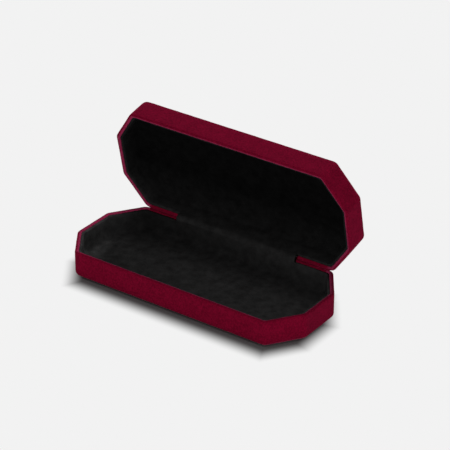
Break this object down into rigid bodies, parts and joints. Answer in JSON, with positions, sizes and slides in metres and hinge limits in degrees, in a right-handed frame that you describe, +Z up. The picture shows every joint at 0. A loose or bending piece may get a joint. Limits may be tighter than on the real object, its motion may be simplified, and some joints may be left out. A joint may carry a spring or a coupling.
{
  "type": "hinged display case",
  "caption": "Empty hinged hard case with a long eight-sided outline, velvet outside and black lining inside, its lid standing open on a sprung hinge.",
  "frame": {"origin": "centre of the base's flat underside", "axes": "+X along the length and the hinge, +Y towards the hinge side, +Z up; -Z points out of the flat underside"},
  "size_m": [0.165, 0.0858, 0.0879],
  "materials": {
    "velvet": "matte",
    "black_lining": "matte",
    "steel": "satin",
    "board": "matte",
    "foam": "matte"
  },
  "bodies": {
    "base": {"base_cover": "velvet", "base_shell": "steel", "base_wall_pad": "board", "base_floor_pad": "foam", "base_lining": "black_lining", "base_leaf": "steel", "base_rivets": "steel", "hinge_pin": "steel", "left_spring": "steel", "right_spring": "steel", "lining_bridge": "black_lining", "spine_cover": "velvet"},
    "lid": {"lid_cover": "velvet", "lid_shell": "steel", "lid_wall_pad": "board", "lid_floor_pad": "foam", "lid_lining": "black_lining", "lid_leaf": "steel", "lid_rivets": "steel"}
  },
  "joints": [
    {"name": "lid_hinge", "type": "hinge", "parent": "base", "child": "lid", "pos_m": [0, 0.0347, 0.01665], "axis": [1, 0, 0], "range_deg": [0, 78], "deforming": ["left_spring", "right_spring", "lining_bridge", "spine_cover"]}
  ]
}
